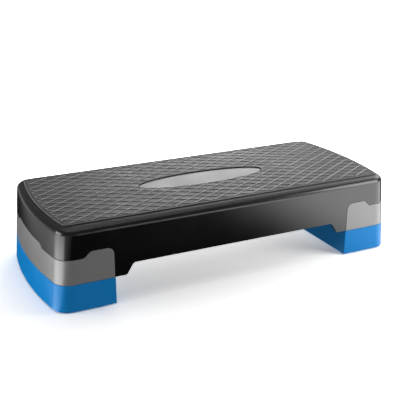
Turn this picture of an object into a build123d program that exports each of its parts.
from build123d import *
import os

# An adjustable exercise step: a hollow moulded deck on a screwed-on cover and a loose riser at each end.
# Millimetres. X runs along the length, Y across the width and Z up.
# The origin is the centre of the base, on the floor.

# Outer form, shared by the deck, the covers and the risers
LENGTH = 700.0
WIDTH = 300.0
HEIGHT = 150.0
END_BOW = 16.8          # each end bulges this far past its corners
CORNER_RADIUS = 30.0
SIDE_DRAFT = 0.9        # each long side leans in this far from base to top
END_DRAFT = 13.0        # each end leans in this far from base to top
TOP_FILLET = 12.0
EDGE_FILLET = 0.8       # every outer edge at a seam
REACH = 400.0           # longer than half the step, for cutting bodies
SEAM_REGION_TOP = 110.0 # every seam lies below this

# Levels
RISER_BASE = 2.0
RISER_TOP = 49.8
COVER_BASE = 50.2
LEG_BASE = 50.5
SKIRT_BASE = 70.6
RIM_TOP = 147.6

# Where the cover meets the deck
SPLIT_X = 234.0         # the cover's upright front edge
SEAM = 0.5
HUMP_TOP = 105.5
HUMP_END = 275.0
HUMP_FOOT = 286.0
WAVE_LOW = 94.5
WAVE_RADIUS = 12.0
END_RISE_TOP = 101.0    # the edge is a little higher across the middle of the end
END_RISE_HALF = 66.0
END_RISE_FOOT = 77.0
END_RISE_EDGE = 100.0
END_RISE_X = 300.0
END_RISE_OVERRUN = 5.0

# Deck
DECK_WALL = 3.5
DECK_PLATE = 4.0
RECESS_FLOOR = 146.2
LEG_TOE_X = 213.0       # the leg's foot ends here and slopes up to the skirt
LEG_KNEE_X = 200.0
LEG_TOE_RADIUS = 6.0
LEG_KNEE_RADIUS = 8.0
BULKHEAD = 3.0
RIB = 2.5
RIB_PITCH_X = 66.0
RIB_ROWS_Y = (-88.0, -29.3, 29.3, 88.0)
RIB_BASE = 112.0
END_RIB_X = 290.0
END_RIB_BASE = 64.0
TONGUE_OUTER = 3.3      # the deck's tongue stands behind the cover's wall
TONGUE_INNER = 5.0
TONGUE_DROP = 8.0
TONGUE_SIDE = 6.0
TONGUE_BASE = 54.0

# Mat and emblem plate
MAT_LENGTH = 651.0
MAT_WIDTH = 261.0
MAT_BOW = 13.2
MAT_CORNER = 10.0
MAT_GAP = 1.2           # between the mat and the wall of its recess
OVAL_LENGTH = 256.0
OVAL_WIDTH = 70.0
OVAL_GROOVE = 1.6
EMBLEM_TOP = 147.6

# Cover
COVER_WALL = 3.0
COVER_FLOOR = 3.0
COVER_LIP = 12.0

# Screws between cover and deck
SCREW_POINTS = ((262.0, 88.0), (318.0, 88.0), (262.0, -88.0), (318.0, -88.0))
SCREW_SEAT = 57.8
SCREW_BOSS_TOP = 61.0
SCREW_SHANK = 4.0
SCREW_HEAD = 8.0
SCREW_HEAD_HEIGHT = 2.8
SCREW_TIP = 78.0
DECK_BOSS_GAP = 0.2
DECK_BOSS = 10.0
COVER_BOSS = 16.0
SCREW_POCKET = 10.5
PILOT = 4.2

# Pads under the cover and feet under the riser stand in line
PAD_POINTS = ((258.0, 114.0), (308.0, 114.0), (258.0, -114.0), (308.0, -114.0))
PAD = 26.0
PAD_DROP = 4.0
PAD_STEM = 9.6
PAD_TUBE = 17.0
PAD_TUBE_TOP = 62.0
FOOT_STEM = 19.6
FOOT_HEIGHT = 6.0
FOOT_STEM_TOP = 14.0
RUBBER_EDGE = 1.2
FIT = 0.4               # how much wider a hole is than what stands in it

# Riser
RISER_WALL = 3.2
RISER_PLATE = 3.0
RISER_INNER_X = 233.5
RISER_RIB_X = 283.0
RISER_RIB_ROWS_Y = (-114.0, -58.0, 0.0, 58.0, 114.0)
RISER_RIB_BASE = 4.0
FOOT_TUBE = 33.0
POCKET = 28.0
POCKET_GAP = 0.3
POST_POINTS = ((283.0, 58.0), (283.0, -58.0))
POST = 24.0
POST_TIP = 21.0
POST_TOP = 60.0
POST_WALL = 3.0


def bowed_plan(x, y, bow, corner, z):
    """A plan at height z with straight sides at y, bowed ends whose corners are at x, and round corners."""
    edge = Line((-x, -y), (x, -y))
    edge += ThreePointArc((x, -y), (x + bow, 0), (x, y))
    edge += Line((x, y), (-x, y))
    edge += ThreePointArc((-x, y), (-x - bow, 0), (-x, -y))
    plan = make_face(edge)
    plan = fillet(plan.vertices(), corner)
    return Plane.XY.offset(z) * plan


def outline(z, inset=0.0):
    """The plan of the outer form at height z, moved in by inset."""
    lean = (z - RISER_BASE) / (HEIGHT - RISER_BASE)
    x = LENGTH / 2 - END_BOW - END_DRAFT * lean - inset
    y = WIDTH / 2 - SIDE_DRAFT * lean - inset
    return bowed_plan(x, y, END_BOW, CORNER_RADIUS - inset, z)


def mat_outline(gap=0.0):
    """The plan of the tread mat, or of its recess when there is a gap."""
    x = MAT_LENGTH / 2 - MAT_BOW + gap
    return bowed_plan(x, MAT_WIDTH / 2 + gap, MAT_BOW, MAT_CORNER + gap, HEIGHT)


def block(bottom, top, inset=0.0):
    """The outer form between two heights, moved in by inset."""
    return loft([outline(bottom, inset), outline(top, inset)], ruled=True)


def rod(diameter, bottom, top, point=(0.0, 0.0), tip=None):
    """An upright cylinder, or a cone when a tip diameter is given."""
    height = top - bottom
    x, y = point
    if tip is None:
        return Pos(x, y, bottom + height / 2) * Cylinder(diameter / 2, height)
    return Pos(x, y, bottom + height / 2) * Cone(diameter / 2, tip / 2, height)


def cuboid(x_range, y_range, z_range):
    """A box from its low and high sides."""
    size = [high - low for low, high in (x_range, y_range, z_range)]
    middle = [(high + low) / 2 for low, high in (x_range, y_range, z_range)]
    return Pos(*middle) * Box(*size)


def prism(points, radii, plane, amount, both=False):
    """A polygon with rounded corners, drawn on a plane and pulled straight."""
    profile = make_face(FilletPolyline(*points, radius=radii, close=True))
    return extrude(plane * profile, amount, dir=plane.z_dir, both=both)


def on_skin(edge):
    """True for a seam edge: it runs along the outer form, but isn't one of the form's own upright joins."""
    middle = edge @ 0.5
    run = edge % 0.5
    if middle.Z > SEAM_REGION_TOP:
        return False
    upright = abs(run.Z) > 0.9
    if upright and abs(abs(middle.X) - SPLIT_X) > 2:
        return False
    if abs(middle.Y) > WIDTH / 2 - 10:
        return True
    return abs(middle.X) > LENGTH / 2 - 40 and abs(run.X) < 0.95


def soften(shape):
    """The shape with every seam edge on its skin rounded a little."""
    return fillet([edge for edge in shape.edges() if on_skin(edge)], EDGE_FILLET)


def both_sides(shape):
    """The shape and its mirror image at the other end of the step."""
    return shape + mirror(shape, about=Plane.YZ)


def cover_zone(shift_x=0.0, shift_z=0.0):
    """Everything below the wavy edge at the right end."""
    side = [
        (SPLIT_X, 0.0),
        (SPLIT_X, HUMP_TOP),
        (HUMP_END, HUMP_TOP),
        (HUMP_FOOT, WAVE_LOW),
        (REACH, WAVE_LOW),
        (REACH, 0.0),
    ]
    side_radii = [0.0, WAVE_RADIUS, WAVE_RADIUS, WAVE_RADIUS, 0.0, 0.0]
    end = [
        (-END_RISE_EDGE, -END_RISE_OVERRUN),
        (-END_RISE_EDGE, WAVE_LOW),
        (-END_RISE_FOOT, WAVE_LOW),
        (-END_RISE_HALF, END_RISE_TOP),
        (END_RISE_HALF, END_RISE_TOP),
        (END_RISE_FOOT, WAVE_LOW),
        (END_RISE_EDGE, WAVE_LOW),
        (END_RISE_EDGE, -END_RISE_OVERRUN),
    ]
    end_radii = [0.0, 0.0] + [WAVE_RADIUS] * 4 + [0.0, 0.0]
    zone = prism(side, side_radii, Plane.XZ, WIDTH, both=True)
    zone += prism(end, end_radii, Plane.YZ.offset(END_RISE_X), REACH - END_RISE_X + END_RISE_OVERRUN)
    return Pos(shift_x, 0, shift_z) * zone


def deck_form():
    """The deck's solid outer form, before it is hollowed."""
    form = block(LEG_BASE - 10, RIM_TOP)
    form = fillet(form.faces().sort_by(Axis.Z)[-1].edges(), TOP_FILLET)
    arch = [
        (-REACH, LEG_BASE),
        (-LEG_TOE_X, LEG_BASE),
        (-LEG_KNEE_X, SKIRT_BASE),
        (LEG_KNEE_X, SKIRT_BASE),
        (LEG_TOE_X, LEG_BASE),
        (REACH, LEG_BASE),
        (REACH, 0.0),
        (-REACH, 0.0),
    ]
    radii = [0.0, LEG_TOE_RADIUS, LEG_KNEE_RADIUS, LEG_KNEE_RADIUS, LEG_TOE_RADIUS, 0.0, 0.0, 0.0]
    form -= prism(arch, radii, Plane.XZ, WIDTH, both=True)
    return soften(form - both_sides(cover_zone()))


def deck_ribs():
    """Ribs under the plate, short in the middle span and deep over the covers."""
    plate_base = RECESS_FLOOR - DECK_PLATE
    half_rib = RIB / 2
    inside = SPLIT_X - BULKHEAD
    grid = Part()
    for step in range(-3, 4):
        x = step * RIB_PITCH_X
        grid += cuboid((x - half_rib, x + half_rib), (-WIDTH, WIDTH), (RIB_BASE, plate_base + 0.2))
    for y in RIB_ROWS_Y:
        row = (y - half_rib, y + half_rib)
        grid += cuboid((-inside, inside), row, (RIB_BASE, plate_base + 0.2))
    deep = cuboid((END_RIB_X - half_rib, END_RIB_X + half_rib), (-WIDTH, WIDTH), (END_RIB_BASE, plate_base + 0.2))
    for y in RIB_ROWS_Y:
        row = (y - half_rib, y + half_rib)
        deep += cuboid((inside, REACH), row, (END_RIB_BASE, plate_base + 0.2))
    for point in SCREW_POINTS:
        deep += rod(DECK_BOSS, SCREW_BOSS_TOP + DECK_BOSS_GAP, plate_base + 0.2, point)
    wall_line = block(LEG_BASE, plate_base + 0.2, DECK_WALL - 0.1)
    clear_of_cover = block(LEG_BASE, plate_base + 0.2, TONGUE_INNER - 0.1)
    deep = deep & (clear_of_cover + (wall_line - cover_zone()))
    bulkhead = cuboid((inside, SPLIT_X), (-WIDTH, WIDTH), (LEG_BASE, plate_base + 0.2)) & wall_line
    return (grid & wall_line) + both_sides(deep + bulkhead)


def deck_tongue():
    """A thin wall that stands behind the cover's wavy edge and closes the seam."""
    ring = block(TONGUE_BASE, HUMP_TOP + 6, TONGUE_OUTER) - block(TONGUE_BASE - 1, HUMP_TOP + 7, TONGUE_INNER)
    ring = ring & cuboid((SPLIT_X - BULKHEAD, REACH), (-WIDTH, WIDTH), (0, HEIGHT))
    return both_sides(ring - cover_zone(TONGUE_SIDE, -TONGUE_DROP))


def make_deck_shell():
    plate_base = RECESS_FLOOR - DECK_PLATE
    hollow = block(0, plate_base, DECK_WALL)
    hollow = fillet(hollow.faces().sort_by(Axis.Z)[-1].edges(), TOP_FILLET - DECK_WALL)
    deck = deck_form() - hollow
    deck -= extrude(mat_outline(MAT_GAP), RECESS_FLOOR - HEIGHT)
    deck += deck_tongue()
    deck += deck_ribs()
    for point in SCREW_POINTS:
        deck -= both_sides(rod(PILOT, SCREW_BOSS_TOP - 1, SCREW_TIP + 2, point))
    return deck


def make_tread_mat():
    mat = extrude(mat_outline(), RECESS_FLOOR - HEIGHT)
    window = Ellipse(OVAL_LENGTH / 2 + OVAL_GROOVE, OVAL_WIDTH / 2 + OVAL_GROOVE)
    return mat - extrude(Plane.XY.offset(RECESS_FLOOR - 1) * window, HEIGHT)


def make_emblem_plate():
    plate = Ellipse(OVAL_LENGTH / 2, OVAL_WIDTH / 2)
    plate = extrude(Plane.XY.offset(RECESS_FLOOR) * plate, EMBLEM_TOP - RECESS_FLOOR)
    return fillet(plate.faces().sort_by(Axis.Z)[-1].edges(), EDGE_FILLET)


def make_cover():
    """The right leg cover: walls on three sides and a floor."""
    floor_top = COVER_BASE + COVER_FLOOR
    front = SPLIT_X + SEAM
    space = cover_zone(SEAM, -SEAM)
    cover = soften(block(COVER_BASE, HEIGHT) & space)
    cover -= block(floor_top, HEIGHT, COVER_WALL)
    lip = cuboid((front, front + COVER_WALL), (-WIDTH, WIDTH), (COVER_BASE, COVER_BASE + COVER_LIP))
    cover += lip & block(COVER_BASE, HEIGHT, TONGUE_INNER + FIT)
    for point in SCREW_POINTS:
        cover += rod(COVER_BOSS, floor_top - 0.1, SCREW_BOSS_TOP, point)
        cover -= rod(SCREW_POCKET, COVER_BASE - 1, SCREW_SEAT, point)
        cover -= rod(SCREW_SHANK + FIT, SCREW_SEAT - 1, SCREW_BOSS_TOP + 1, point)
    for point in PAD_POINTS:
        cover += rod(PAD_TUBE, floor_top - 0.1, PAD_TUBE_TOP, point)
        cover -= rod(PAD_STEM + FIT, COVER_BASE - 1, PAD_TUBE_TOP + 1, point)
    for point in POST_POINTS:
        cover -= rod(POST + 4 * FIT, COVER_BASE - 1, floor_top + 1, point)
    return cover


def make_screw(point):
    """A pan-head self-tapping screw, driven from below."""
    head_base = SCREW_SEAT - SCREW_HEAD_HEIGHT
    head = rod(SCREW_HEAD, head_base, SCREW_SEAT)
    head = fillet(head.faces().sort_by(Axis.Z)[0].edges(), EDGE_FILLET)
    head -= cuboid((-2.2, 2.2), (-0.5, 0.5), (head_base - 1, head_base + 1.4))
    head -= cuboid((-0.5, 0.5), (-2.2, 2.2), (head_base - 1, head_base + 1.4))
    shank = rod(SCREW_SHANK, SCREW_SEAT - 0.1, SCREW_TIP - 3)
    tip = rod(SCREW_SHANK, SCREW_TIP - 3, SCREW_TIP, tip=0.8)
    return Pos(point[0], point[1], 0) * (head + shank + tip)


def make_rubber(base, shoulder, stem_top, stem):
    """A round rubber foot with a stem that plugs into a tube."""
    pad = rod(PAD, base, shoulder)
    pad = fillet(pad.faces().sort_by(Axis.Z)[0].edges(), RUBBER_EDGE)
    plug = rod(stem, shoulder - 0.1, stem_top)
    plug = chamfer(plug.faces().sort_by(Axis.Z)[-1].edges(), RUBBER_EDGE)
    return pad + plug


def riser_ribs():
    """Ribs and foot tubes under the riser's plate."""
    half_rib = RIB / 2
    top = RISER_TOP - RISER_PLATE + 0.1
    span = (RISER_INNER_X + 1, REACH)
    ribs = cuboid((RISER_RIB_X - half_rib, RISER_RIB_X + half_rib), (-WIDTH, WIDTH), (RISER_RIB_BASE, top))
    for y in RISER_RIB_ROWS_Y:
        ribs += cuboid(span, (y - half_rib, y + half_rib), (RISER_RIB_BASE, top))
    for point in PAD_POINTS:
        ribs += rod(FOOT_TUBE, RISER_BASE, top, point)
    return ribs & block(RISER_BASE, top, RISER_WALL - 0.1)


def make_riser():
    """The right riser: a closed plate on walls, open below."""
    space = cuboid((RISER_INNER_X, REACH), (-WIDTH, WIDTH), (-10, HEIGHT))
    riser = soften(block(RISER_BASE, RISER_TOP) & space)
    plate_base = RISER_TOP - RISER_PLATE
    hollow = block(RISER_BASE - 1, plate_base, RISER_WALL)
    hollow = hollow & (Pos(RISER_WALL, 0, 0) * space)
    riser -= hollow
    riser += riser_ribs()
    pocket_floor = COVER_BASE - PAD_DROP - POCKET_GAP
    for point in PAD_POINTS:
        riser -= rod(POCKET, pocket_floor, RISER_TOP + 1, point)
        riser -= rod(PAD + FIT, RISER_BASE - 1, FOOT_HEIGHT, point)
        riser -= rod(FOOT_STEM + FIT, FOOT_HEIGHT - 1, pocket_floor - RISER_PLATE, point)
    for point in POST_POINTS:
        riser += rod(POST, RISER_TOP - 0.1, POST_TOP, point, tip=POST_TIP)
        riser -= rod(POST - 2 * POST_WALL, plate_base, POST_TOP - POST_WALL, point, tip=POST_TIP - 2 * POST_WALL)
    return riser


def make_parts():
    """Every sub-part by name."""
    parts = {
        "deck_shell": make_deck_shell(),
        "tread_mat": make_tread_mat(),
        "emblem_plate": make_emblem_plate(),
    }
    right = {
        "leg_cover": make_cover(),
        "cover_screws": Compound([make_screw(point).solid() for point in SCREW_POINTS]),
        "riser": make_riser(),
    }
    pad = make_rubber(COVER_BASE - PAD_DROP, COVER_BASE, PAD_TUBE_TOP - 2, PAD_STEM)
    foot = make_rubber(0.0, FOOT_HEIGHT, FOOT_STEM_TOP, FOOT_STEM)
    for number, (x, y) in enumerate(PAD_POINTS, start=1):
        right[f"cover_pad_{number}"] = Pos(x, y, 0) * pad
        right[f"riser_foot_{number}"] = Pos(x, y, 0) * foot
    for name, shape in right.items():
        parts[f"right_{name}"] = shape
        parts[f"left_{name}"] = mirror(shape, about=Plane.YZ)
    return parts


os.makedirs("parts", exist_ok=True)
for node, shape in make_parts().items():
    export_step(shape, f"parts/{node}.step")
